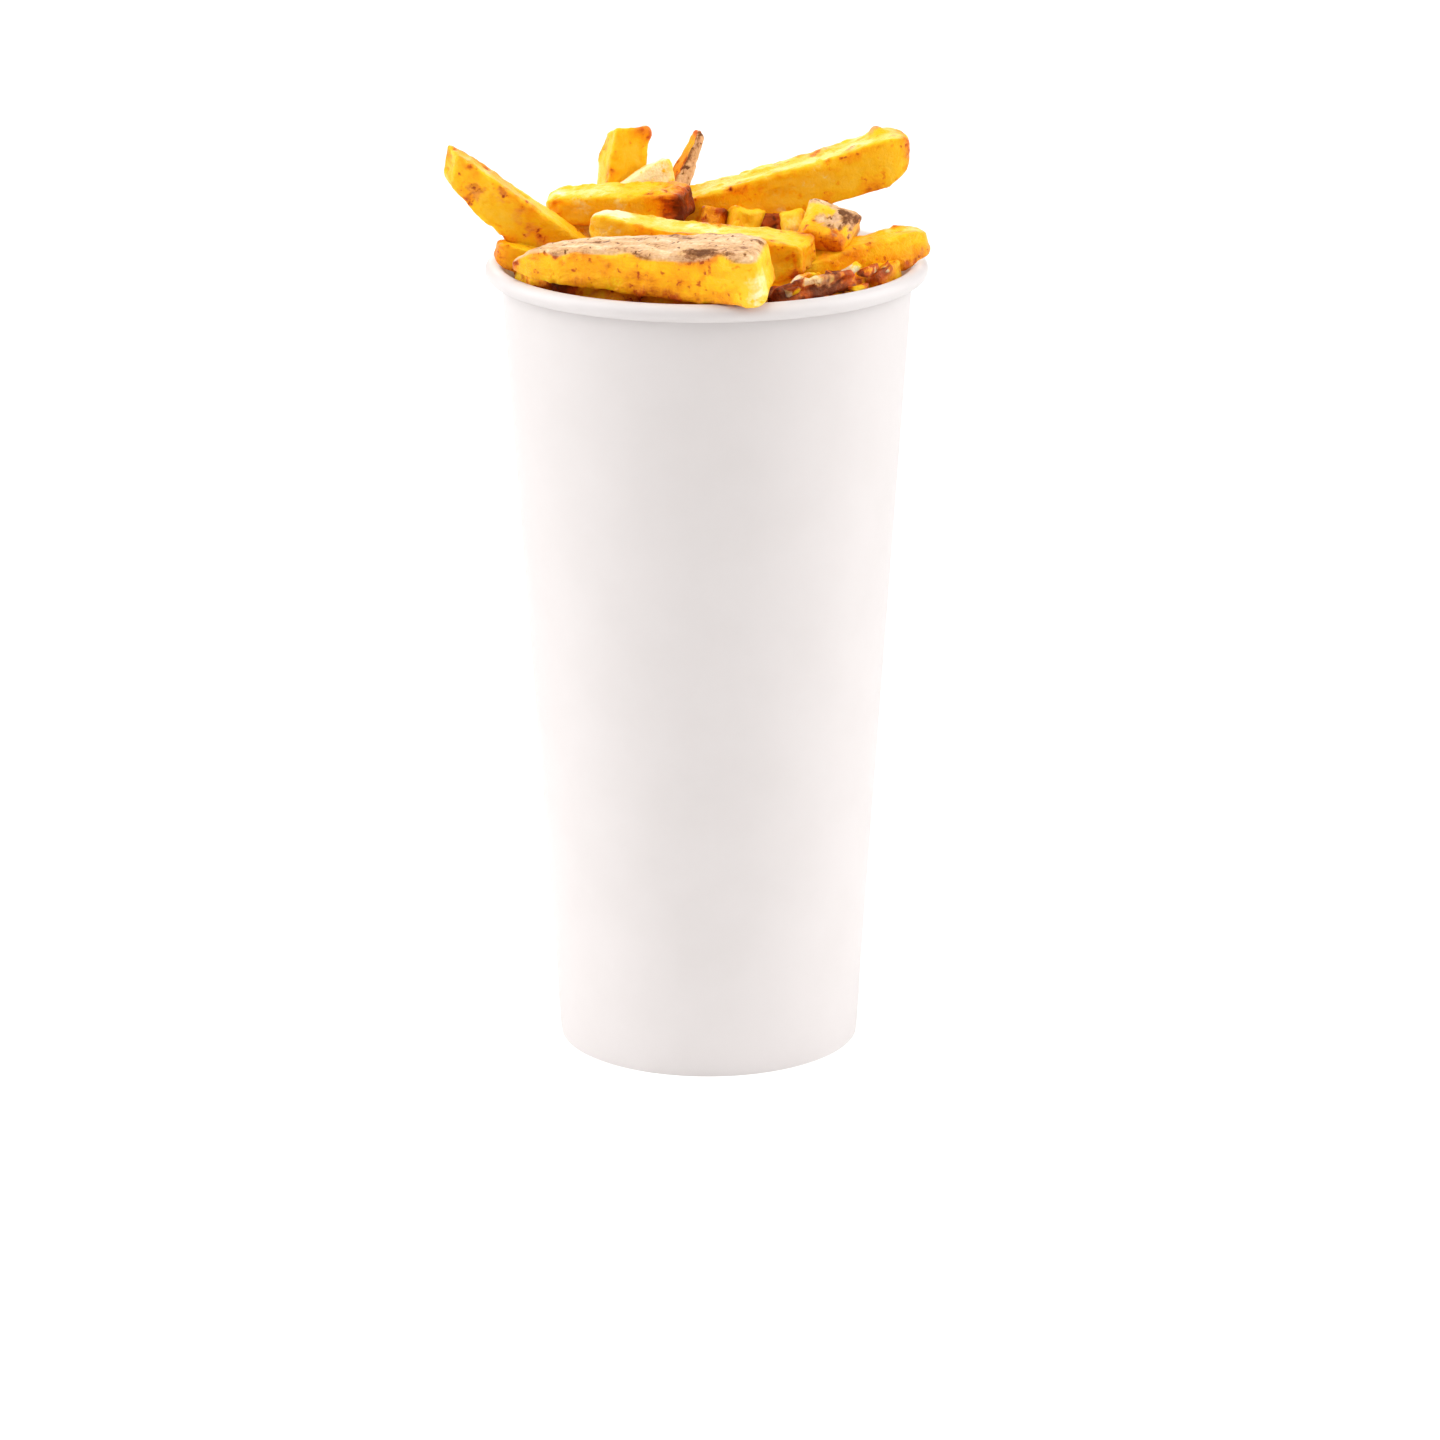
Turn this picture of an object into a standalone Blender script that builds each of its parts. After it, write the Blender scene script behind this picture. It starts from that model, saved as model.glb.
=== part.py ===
"""A tall paper cup heaped with thick-cut french fries.

The cup is the usual rolled-rim kind: a cone of board glued along one side seam, its top edge
curled outwards, its bottom edge folded in and up round the skirt of a pressed base disc. The fries
are one bundle: a core that fills the cup, with the fries that show at the mouth fused on.

Metres, +Z up. The origin is on the table at the cup's axis, and +Y points at the side seam.
"""

import math
import random

import bmesh
import bpy
from mathutils import Matrix, Vector

# Cup sizes
CUP_HEIGHT = 0.165
RIM_RADIUS = 0.045
FOOT_RADIUS = 0.031
BOARD = 0.0005
CURL_RADIUS = 0.0018
CURL_SWEEP = math.radians(296)
CURL_STEPS = 9
SIDES = 60

# Foot of the cup: the wall's hem folded up inside the skirt of the base disc
GAP = 0.0003
HEM_HEIGHT = 0.0080
BASE_HEIGHT = 0.0090

# Side seam, where the board laps over itself
SEAM_HEADING = math.radians(90)
SEAM_LAP = 0.008
SEAM_STEP = 0.0004
SEAM_EDGE = 0.004

# Bundle of fries
CORE_TOP = 0.154
CORE_DISH = 0.004
CORE_SIDES = 20
HEAP_TURN = math.radians(35)
FRY_CORNER = 0.26
FRY_STATIONS = (0.0, 0.12, 0.5, 0.88, 1.0)
FRY_SWELL = (0.80, 0.97, 1.0, 0.97, 0.80)

# Loose fries of the fill, drawn by rule
FILL_SEED = 11
FILL_COUNT = 46
FILL_TRIES = 7000
FILL_SIDE = (0.0072, 0.0094)
FILL_LENGTH = (0.034, 0.070)
FILL_REACH = 0.0375
FILL_SWING = 1.8
FILL_TOP = (0.154, 0.163)
FILL_RISE = (math.radians(4), math.radians(70))
FILL_APART = 0.0056

WALL_TOP = Vector((RIM_RADIUS - 2 * CURL_RADIUS + BOARD, CUP_HEIGHT - CURL_RADIUS))


def fry(tip, tail, side, roll=0.0, bow=0.0, tip_size=1.0, tail_size=1.0, skew=0.0):
    """One fry: its two end centres in the heap's own frame, and how it is cut.

    side is (width, height). roll turns it about its length, bow bends it, tip_size and tail_size
    taper its ends, and skew slants the cut at its tip.
    """
    return {
        "tip": Vector(tip),
        "tail": Vector(tail),
        "side": side,
        "roll": math.radians(roll),
        "bow": bow,
        "sizes": (tip_size, tail_size),
        "skew": skew,
    }


# The fries that show, each from tip to tail: X to the right, Y away from the viewer
SHOWN_FRIES = {
    "left_lean": fry(
        (-0.0513, -0.0080, 0.1864), (0.0030, 0.0090, 0.1382), (0.0114, 0.0110), 10, -0.0004, 0.48, 0.9, 0.3
    ),
    "left_end": fry((-0.0418, -0.0085, 0.1686), (-0.0130, -0.0030, 0.1600), (0.0062, 0.0058), 8, 0.0, 0.85),
    "back_upright": fry(
        (-0.0166, 0.0240, 0.1872), (-0.0235, 0.0215, 0.1310), (0.0082, 0.0080), 3, 0.0, 1.16
    ),
    "thin_tip": fry((-0.0012, 0.0258, 0.1862), (-0.0185, 0.0090, 0.1500), (0.0062, 0.0060), 12, 0.0, 0.22),
    "pale_stub": fry((-0.0075, 0.0170, 0.1795), (-0.0300, 0.0120, 0.1650), (0.0072, 0.0072), 10, 0.0, 0.85),
    "back_bar": fry((-0.0325, 0.0100, 0.1736), (-0.0036, 0.0040, 0.1756), (0.0080, 0.0076), 12, 0.0003, 0.9),
    "long_bar": fry(
        (0.0412, 0.0125, 0.1854), (-0.0140, 0.0150, 0.1698), (0.0096, 0.0094), -6, -0.0010, 1.12, 0.85
    ),
    "front_skin": fry(
        (-0.0385, -0.0200, 0.1690), (0.0118, -0.0428, 0.1715), (0.0108, 0.0102), 8, 0.0, 0.62, 1.1
    ),
    "middle_bar": fry(
        (-0.0232, -0.0060, 0.1736), (0.0205, -0.0175, 0.1690), (0.0088, 0.0088), 6, -0.0014, 0.78
    ),
    "skin_end": fry((0.0243, -0.0120, 0.1750), (0.0230, 0.0230, 0.1580), (0.0114, 0.0104), 20, 0.0, 0.98),
    "right_bar": fry((0.0446, -0.0030, 0.1700), (0.0085, -0.0165, 0.1615), (0.0082, 0.0084), -6, 0.0, 0.66),
    "rim_crisp": fry((0.0290, -0.0235, 0.1660), (0.0125, -0.0335, 0.1634), (0.0056, 0.0048), 15, 0.0, 0.8),
    "gap_left": fry((0.0082, 0.0005, 0.1726), (0.0040, 0.0240, 0.1590), (0.0084, 0.0078), 10, 0.0, 0.95),
    "gap_right": fry((0.0172, -0.0010, 0.1732), (0.0225, 0.0240, 0.1560), (0.0058, 0.0064), -12, 0.0, 0.9),
    "front_prop": fry((-0.0300, -0.0190, 0.1624), (0.0130, -0.0305, 0.1606), (0.0094, 0.0092), 5),
    "middle_prop": fry((-0.0090, -0.0190, 0.1640), (-0.0130, 0.0260, 0.1672), (0.0094, 0.0092), 5),
}


def wall_radius(z):
    """Radius of the wall's outer face at height z."""
    share = z / WALL_TOP.y
    return FOOT_RADIUS + (WALL_TOP.x - FOOT_RADIUS) * share


def clear_scene():
    for old in list(bpy.data.objects):
        bpy.data.objects.remove(old, do_unlink=True)


def material(name, colour, roughness):
    made = bpy.data.materials.new(name)
    made.use_nodes = True
    shader = made.node_tree.nodes["Principled BSDF"]
    shader.inputs["Base Color"].default_value = (*colour, 1.0)
    shader.inputs["Roughness"].default_value = roughness
    shader.inputs["Metallic"].default_value = 0.0
    return made


def add_object(name, bm, finish, smooth_deg=None):
    bmesh.ops.recalc_face_normals(bm, faces=bm.faces)
    mesh = bpy.data.meshes.new(name)
    bm.to_mesh(mesh)
    bm.free()
    if smooth_deg is not None:
        mesh.shade_smooth()
        mesh.set_sharp_from_angle(angle=math.radians(smooth_deg))
    made = bpy.data.objects.new(name, mesh)
    made.data.materials.append(finish)
    bpy.context.scene.collection.objects.link(made)
    return made


def turned(bm, section, headings, looped=False):
    """Turns a section round the axis. section(heading) gives its (radius, height) points in order.

    A point on the axis becomes one shared vertex. looped joins the last point to the first.
    """
    slices = []
    poles = {}
    for heading in headings:
        made = []
        for k, (radius, z) in enumerate(section(heading)):
            if radius == 0 and k not in poles:
                poles[k] = bm.verts.new((0, 0, z))
            spot = (radius * math.cos(heading), radius * math.sin(heading), z)
            made.append(poles[k] if k in poles else bm.verts.new(spot))
        slices.append(made)
    for here, there in zip(slices, slices[1:] + slices[:1]):
        for k in range(len(here) if looped else len(here) - 1):
            after = (k + 1) % len(here)
            corners = dict.fromkeys((here[k], there[k], there[after], here[after]))
            bm.faces.new(list(corners))


def even_headings(count):
    return [2 * math.pi * k / count for k in range(count)]


# Paper cup


def seam_headings():
    """Even headings round the cup, with two more that make the free edge of the lap a sharp step."""
    edge = SEAM_HEADING + 0.5 * SEAM_LAP / RIM_RADIUS
    return sorted(even_headings(SIDES) + [edge - SEAM_EDGE, edge + SEAM_EDGE])


def seam_lift(heading):
    """How far the outer face stands proud: a full step over the lap, eased off on its far side."""
    lap = SEAM_LAP / RIM_RADIUS
    past_edge = SEAM_HEADING + 0.5 * lap - heading
    if past_edge < 0:
        return 0.0
    return SEAM_STEP * max(0.0, min(1.0, (2 * lap - past_edge) / lap))


def wall_section(heading):
    """(radius, height) round the board's section at one heading, from the foot's outer corner up."""

    def on_wall(inset, z):
        return wall_radius(z) - inset, z

    centre = Vector((RIM_RADIUS - CURL_RADIUS, CUP_HEIGHT - CURL_RADIUS))
    turns = [math.pi - CURL_SWEEP * k / CURL_STEPS for k in range(CURL_STEPS + 1)]

    def curl(radius, turn):
        return tuple(centre + radius * Vector((math.cos(turn), math.sin(turn))))

    slot = BOARD + 2 * GAP
    lift = seam_lift(heading)
    return (
        [on_wall(-lift, 0.0), on_wall(-lift, WALL_TOP.y - CURL_RADIUS)]
        + [curl(CURL_RADIUS - BOARD, turn) for turn in turns]
        + [curl(CURL_RADIUS, turn) for turn in reversed(turns)]
        + [on_wall(BOARD, BOARD), on_wall(BOARD + slot, BOARD)]
        + [on_wall(BOARD + slot, HEM_HEIGHT), on_wall(2 * BOARD + slot, HEM_HEIGHT)]
        + [on_wall(2 * BOARD + slot, 0.0)]
    )


def build_cup_wall(board):
    """The side wall, its rolled rim and its folded hem: one sheet of board, as a closed turned loop."""
    bm = bmesh.new()
    turned(bm, wall_section, seam_headings(), looped=True)
    return add_object("cup_wall", bm, board, 40)


def build_cup_base(board):
    """The pressed disc with its skirt turned down into the hem."""
    top, under, foot = BASE_HEIGHT, BASE_HEIGHT - BOARD, BOARD + GAP
    outer, inner = BOARD + GAP, 2 * BOARD + GAP
    section = [
        (0, top),
        (wall_radius(top) - outer, top),
        (wall_radius(foot) - outer, foot),
        (wall_radius(foot) - inner, foot),
        (wall_radius(under) - inner, under),
        (0, under),
    ]
    bm = bmesh.new()
    turned(bm, lambda heading: section, even_headings(SIDES))
    return add_object("cup_base", bm, board, 40)


# Fries


def fry_section(width, height):
    """A square with cut corners: eight points round one cross-section."""
    w, h = width / 2, height / 2
    cut = FRY_CORNER * min(width, height) / 2
    corners = [(w, h - cut), (w - cut, h), (cut - w, h), (-w, h - cut)]
    return corners + [(-x, -y) for x, y in corners]


def fry_rings(one):
    """The rings of points along a fry, in the heap's frame."""
    along = one["tail"] - one["tip"]
    length = along.length
    forward = along.normalized()
    sideways = forward.cross(Vector((0, 0, 1)))
    sideways = sideways.normalized() if sideways.length > 0.05 else Vector((1, 0, 0))
    upward = sideways.cross(forward)
    turn = Matrix.Rotation(one["roll"], 3, forward)
    sideways, upward = turn @ sideways, turn @ upward
    section = fry_section(*one["side"])
    rings = []
    for t, swell in zip(FRY_STATIONS, FRY_SWELL):
        tip_size, tail_size = one["sizes"]
        size = swell * (1 + (tip_size - 1) * (1 - t) ** 2 + (tail_size - 1) * t**2)
        bend = one["bow"] * 4 * t * (1 - t)
        ring = []
        for x, y in section:
            slant = one["skew"] * x * max(0.0, 1 - 3 * t)
            ring.append(
                one["tip"]
                + forward * (t * length + slant)
                + sideways * x * size
                + upward * (y * size + bend)
            )
        rings.append(ring)
    return rings


def build_fry(name, one, finish):
    bm = bmesh.new()
    loops = [[bm.verts.new(p) for p in ring] for ring in fry_rings(one)]
    for near, far in zip(loops, loops[1:]):
        for k in range(len(near)):
            after = (k + 1) % len(near)
            bm.faces.new((near[k], near[after], far[after], far[k]))
    bm.faces.new(list(reversed(loops[0])))
    bm.faces.new(loops[-1])
    return add_object(name, bm, finish)


def clear_of_cup(one):
    """True where every point of a fry is inside the wall, or above the rim."""
    for ring in fry_rings(one):
        for p in ring:
            reach = math.hypot(p.x, p.y)
            if p.z < CUP_HEIGHT + GAP and reach > wall_radius(p.z) - BOARD - 2 * GAP:
                return False
            if p.z < BASE_HEIGHT + GAP:
                return False
    return True


def axis_distance(one, other):
    """Smallest distance between the centre lines of two fries, from points along them."""
    steps = 7
    mine = [one["tip"].lerp(one["tail"], k / (steps - 1)) for k in range(steps)]
    theirs = [other["tip"].lerp(other["tail"], k / (steps - 1)) for k in range(steps)]
    return min((p - q).length for p in mine for q in theirs)


def draw_fry(draw):
    """A loose fry of the fill: a tip near the mouth, and a tail lower down towards the far side."""
    reach = FILL_REACH * math.sqrt(draw.random())
    heading = draw.uniform(0, 2 * math.pi)
    tip = Vector((reach * math.cos(heading), reach * math.sin(heading), draw.uniform(*FILL_TOP)))
    rise = draw.uniform(*FILL_RISE)
    away = heading + math.pi + draw.uniform(-FILL_SWING, FILL_SWING)
    level = math.cos(rise)
    along = Vector((level * math.cos(away), level * math.sin(away), -math.sin(rise)))
    side = draw.uniform(*FILL_SIDE)
    return fry(
        tip,
        tip + along * draw.uniform(*FILL_LENGTH),
        (side, side * draw.uniform(0.85, 1.1)),
        draw.uniform(-30, 30),
        draw.uniform(-0.0015, 0.0015),
        draw.uniform(0.8, 1.05),
    )


def fill_fries():
    """The loose fries: seeded draws, kept where they clear the cup and the fries already there."""
    draw = random.Random(FILL_SEED)
    kept = []
    for _ in range(FILL_TRIES):
        one = draw_fry(draw)
        others = list(SHOWN_FRIES.values()) + kept
        if clear_of_cup(one) and all(axis_distance(one, other) > FILL_APART for other in others):
            kept.append(one)
        if len(kept) == FILL_COUNT:
            break
    return kept


def build_core(finish):
    """What fills the cup under the mouth: a plug that follows the wall, with a dished top."""
    inset = BOARD + 2 * GAP
    low, high = BASE_HEIGHT + GAP, CORE_TOP
    section = [
        (0, low),
        (wall_radius(low) - inset, low),
        (wall_radius(high) - inset, high),
        (0, high - CORE_DISH),
    ]
    bm = bmesh.new()
    turned(bm, lambda heading: section, even_headings(CORE_SIDES))
    return add_object("fries", bm, finish)


def keep_outer_shell(mesh):
    """Leaves only the largest closed shell: no scrap, and no hollow sealed in by the fusing."""
    bm = bmesh.new()
    bm.from_mesh(mesh)
    left = set(bm.verts)
    shells = []
    while left:
        shell, front = set(), [left.pop()]
        while front:
            vert = front.pop()
            shell.add(vert)
            for edge in vert.link_edges:
                other = edge.other_vert(vert)
                if other in left:
                    left.remove(other)
                    front.append(other)
        shells.append(shell)
    shells.sort(key=len)
    scraps = [v for shell in shells[:-1] for v in shell]
    bmesh.ops.delete(bm, geom=scraps, context="VERTS")
    bmesh.ops.triangulate(bm, faces=bm.faces)
    bm.to_mesh(mesh)
    bm.free()


def fuse(core, pieces):
    """One Boolean union of the core with every fry, applied, with the loose fries then removed."""
    group = bpy.data.collections.new("loose_fries")
    bpy.context.scene.collection.children.link(group)
    for piece in pieces:
        bpy.context.scene.collection.objects.unlink(piece)
        group.objects.link(piece)
    union = core.modifiers.new("union", "BOOLEAN")
    union.operation = "UNION"
    union.operand_type = "COLLECTION"
    union.collection = group
    union.solver = "EXACT"
    graph = bpy.context.evaluated_depsgraph_get()
    fused = bpy.data.meshes.new_from_object(core.evaluated_get(graph))
    core.modifiers.clear()
    core.data = fused
    for piece in pieces:
        bpy.data.objects.remove(piece, do_unlink=True)
    bpy.data.collections.remove(group)
    keep_outer_shell(fused)


def build_fries(finish):
    core = build_core(finish)
    pieces = [build_fry(name, one, finish) for name, one in SHOWN_FRIES.items()]
    pieces += [build_fry(f"fill_{k:02d}", one, finish) for k, one in enumerate(fill_fries())]
    fuse(core, pieces)
    core.rotation_euler.z = HEAP_TURN
    return core


def main():
    clear_scene()
    board = material("white_board", (0.93, 0.92, 0.91), 0.45)
    fried = material("fried_potato", (0.90, 0.55, 0.12), 0.55)
    build_cup_wall(board)
    build_cup_base(board)
    build_fries(fried)


main()
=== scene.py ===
import math
import random

import bpy
import numpy as np
from mathutils import Matrix, Vector


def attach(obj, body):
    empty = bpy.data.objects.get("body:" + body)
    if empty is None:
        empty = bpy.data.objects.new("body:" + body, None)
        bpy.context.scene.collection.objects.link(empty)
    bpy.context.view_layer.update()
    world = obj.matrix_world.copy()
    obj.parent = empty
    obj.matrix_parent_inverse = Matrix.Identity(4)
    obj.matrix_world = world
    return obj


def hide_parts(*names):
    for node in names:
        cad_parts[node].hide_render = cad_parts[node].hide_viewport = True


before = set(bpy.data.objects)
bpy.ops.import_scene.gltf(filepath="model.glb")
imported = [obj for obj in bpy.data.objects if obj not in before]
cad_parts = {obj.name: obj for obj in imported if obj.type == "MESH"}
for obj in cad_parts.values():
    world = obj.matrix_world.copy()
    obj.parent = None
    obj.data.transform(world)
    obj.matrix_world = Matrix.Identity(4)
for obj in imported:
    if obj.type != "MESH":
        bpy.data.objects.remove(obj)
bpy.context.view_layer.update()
print("frame: the packed cup and fries are in")

mm = 0.001
heapTurn = math.radians(35)  # the heap and the camera are turned this much about the cup's axis


# number work shared by the pieces

def softStep(x, low, high):
    # 0 below low, 1 above high, 3t^2 - 2t^3 between
    t = np.clip((x - low) / (high - low), 0, 1)
    return t * t * (3 - 2 * t)


def lumps(points, size, seed):
    # random numbers at the corners of cubes of this size, blended inside each cube by 3t^2 - 2t^3: -1 to 1
    corners = 32  # the numbers repeat after this many cubes
    table = np.random.default_rng(seed).uniform(-1, 1, (corners, corners, corners))
    cube = points / size
    corner = np.floor(cube).astype(int)
    t = cube - corner
    t = t * t * (3 - 2 * t)
    total = np.zeros(points.shape[:-1])
    for dx in (0, 1):
        for dy in (0, 1):
            for dz in (0, 1):
                share = np.abs(1 - dx - t[..., 0]) * np.abs(1 - dy - t[..., 1]) * np.abs(1 - dz - t[..., 2])
                near = (corner + (dx, dy, dz)) % corners
                total += share * table[near[..., 0], near[..., 1], near[..., 2]]
    return total


def ringQuads(rows, around, flip=False):
    # quads between each ring of points and the next; the last point of a ring joins its first
    row, k = np.meshgrid(np.arange(rows - 1), np.arange(around), indexing="ij")
    after = (k + 1) % around
    corners = [row * around + k, (row + 1) * around + k, (row + 1) * around + after, row * around + after]
    quads = np.stack(corners, axis=-1).reshape(-1, 4)
    return quads[:, ::-1] if flip else quads


def poleTriangles(ring, pole, flip=False):
    # a fan from one point to a ring of points
    after = np.roll(ring, -1)
    fan = np.stack([np.full(len(ring), pole), ring, after], axis=-1)
    return fan[:, ::-1] if flip else fan


def capTriangles(rows, around, flip=False):
    # fans to the first and the last ring, from two points that come after all the rings
    first, last = np.arange(around), np.arange(around) + (rows - 1) * around
    fans = [poleTriangles(first, rows * around, flip), poleTriangles(last, rows * around + 1, not flip)]
    return np.concatenate(fans)


def pointing(heading, rise):
    # unit vector towards this heading, rising by this angle
    return Vector((math.cos(rise) * math.cos(heading), math.cos(rise) * math.sin(heading), math.sin(rise)))


def meshPiece(name, points, quads, triangles, material, marks=None, sharpAngle=None):
    # one mesh from arrays of points, four-cornered and three-cornered faces, and numbers kept on each point
    mesh = bpy.data.meshes.new(name)
    corners = np.concatenate([quads.ravel(), triangles.ravel()]).astype(np.int32)
    sizes = np.concatenate([np.full(len(quads), 4), np.full(len(triangles), 3)])
    mesh.vertices.add(len(points))
    mesh.vertices.foreach_set("co", points.astype(np.float32).ravel())
    mesh.loops.add(len(corners))
    mesh.loops.foreach_set("vertex_index", corners)
    mesh.polygons.add(len(sizes))
    mesh.polygons.foreach_set("loop_start", (np.cumsum(sizes) - sizes).astype(np.int32))
    mesh.update(calc_edges=True)
    mesh.validate()
    mesh.shade_smooth()
    if sharpAngle is not None:
        mesh.set_sharp_from_angle(angle=math.radians(sharpAngle))
    for mark, values in (marks or {}).items():
        kind, field = ("FLOAT", "value") if values.ndim == 1 else ("FLOAT_VECTOR", "vector")
        mesh.attributes.new(mark, kind, "POINT").data.foreach_set(field, values.astype(np.float32).ravel())
    piece = bpy.data.objects.new(name, mesh)
    piece.data.materials.append(material)
    bpy.context.scene.collection.objects.link(piece)
    return piece


def dress(piece, slot, *nodes):
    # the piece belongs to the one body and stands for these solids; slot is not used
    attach(piece, "root")
    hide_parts(*nodes)


# material helpers

def newMaterial(name):
    material = bpy.data.materials.new(name)
    material.use_nodes = True
    tree = material.node_tree
    return material, tree, tree.nodes["Principled BSDF"]


def addNode(tree, kind, links=None, **settings):
    node = tree.nodes.new(kind)
    for key, value in settings.items():
        setattr(node, key, value)
    for socket, value in (links or {}).items():
        if isinstance(value, bpy.types.NodeSocket):
            tree.links.new(value, node.inputs[socket])
        else:
            node.inputs[socket].default_value = value
    return node


def mathNode(tree, operation, a, b=0.0, c=0.0, clamp=False):
    node = addNode(tree, "ShaderNodeMath", {0: a, 1: b, 2: c}, operation=operation, use_clamp=clamp)
    return node.outputs[0]


def rampNode(tree, value, stops):
    node = addNode(tree, "ShaderNodeValToRGB", {0: value})
    while len(node.color_ramp.elements) < len(stops):
        node.color_ramp.elements.new(0.5)
    for element, (place, colour) in zip(node.color_ramp.elements, stops):
        element.position = place
        element.color = (*colour, 1.0)
    return node.outputs[0]


def mixColour(tree, share, one, other):
    return addNode(tree, "ShaderNodeMix", {0: share, 6: one, 7: other}, data_type="RGBA").outputs[2]


def noiseNode(tree, where, scale, detail=3.0, roughness=0.55):
    settings = {"Vector": where, "Scale": scale, "Detail": detail, "Roughness": roughness}
    return addNode(tree, "ShaderNodeTexNoise", settings).outputs["Fac"]


# paper cup

cup = {
    "height": 165.0 * mm,
    "rimRadius": 44.93 * mm,
    "footRadius": 31.0 * mm,
    "board": 0.5 * mm,
    "curlRadius": 1.8 * mm,
    "curlSweep": 296,  # degrees of roll
    "gap": 0.3 * mm,
    "baseHeight": 9.0 * mm,
    "seamHeading": 90,  # degrees: the seam faces +Y
    "seamLap": 8.0 * mm,
    "seamStep": 0.35 * mm,
    "waver": 0.05 * mm,  # unevenness of the rolled board
    "aroundPoints": 300,
    "basePoints": 180,
    "whiteColour": (0.640, 0.602, 0.594),
    "shadeColour": (0.626, 0.588, 0.579),
    "roughness": 0.38,
    "mottleScale": 60.0,  # scales of noises, in lumps per metre
    "grainScale": 700.0,
    "fibreScale": 2600.0,
    "fibreDepth": 0.08 * mm,
}
wallTopRadius = cup["rimRadius"] - 2 * cup["curlRadius"] + cup["board"]
wallTop = cup["height"] - cup["curlRadius"]


def wallRadius(z):
    # straight cone from the foot to where the roll starts
    return cup["footRadius"] + (wallTopRadius - cup["footRadius"]) * z / wallTop


def cupBoardMaterial():
    # coated board: white with a faint mottle, a fine fibre relief and a little sheen
    material, tree, shader = newMaterial("cupBoard")
    where = tree.nodes.new("ShaderNodeTexCoord").outputs["Object"]
    mottle = noiseNode(tree, where, cup["mottleScale"], 4.0)
    fibre = noiseNode(tree, where, cup["fibreScale"], 2.0)
    grain = noiseNode(tree, where, cup["grainScale"], 3.0, 0.6)
    cloud = rampNode(tree, mottle, ((0.35, cup["shadeColour"]), (0.6, cup["whiteColour"])))
    tree.links.new(cloud, shader.inputs["Base Color"])
    matt = mathNode(tree, "MULTIPLY_ADD", grain, 0.16, cup["roughness"])
    tree.links.new(matt, shader.inputs["Roughness"])
    relief = mathNode(tree, "MULTIPLY_ADD", grain, 1.6, fibre)
    bumpSettings = {"Height": relief, "Strength": 0.10, "Distance": cup["fibreDepth"]}
    tree.links.new(addNode(tree, "ShaderNodeBump", bumpSettings).outputs[0], shader.inputs["Normal"])
    return material


def wallSection():
    # the board's section as radius, height and which face: outer face up, round the inside of the roll,
    # back round the outside of the roll, down the inner face, then round the hem
    board, curl, slot = cup["board"], cup["curlRadius"], cup["board"] + 2 * cup["gap"]
    up = np.concatenate([[0, 0.15, 0.4, 1.0], np.linspace(2.5, 12, 12), np.linspace(15, 161.4, 58)]) * mm
    turn = math.pi - np.radians(cup["curlSweep"]) * np.linspace(0, 1, 30)
    centreR, centreZ = cup["rimRadius"] - curl, cup["height"] - curl
    down = np.concatenate([np.linspace(162.4, 12, 50), np.linspace(10, 0.9, 10), [0.5]]) * mm
    rise = np.array([1.0, 4.0, 7.8, 8.0]) * mm
    parts = [
        (wallRadius(up), up, "outer"),
        (centreR + (curl - board) * np.cos(turn), centreZ + (curl - board) * np.sin(turn), "roll"),
        (centreR + curl * np.cos(turn[::-1]), centreZ + curl * np.sin(turn[::-1]), "roll"),
        (wallRadius(down) - board, down, "inner"),
        (wallRadius(0.5 * mm) - board - np.array([0.35, 0.75, 1.0]) * slot, np.full(3, 0.5 * mm), "hem"),
        (wallRadius(rise) - board - slot, rise, "hem"),
        (wallRadius(rise[::-1]) - 2 * board - slot, rise[::-1], "hem"),
        (wallRadius(0.0) - 2 * board - slot + np.array([0.0, 0.3, 1.2]) * mm, np.zeros(3), "hem"),
    ]
    radius = np.concatenate([part[0] for part in parts])
    height = np.concatenate([part[1] for part in parts])
    face = np.concatenate([np.full(len(part[0]), part[2]) for part in parts])
    return radius, height, face


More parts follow.
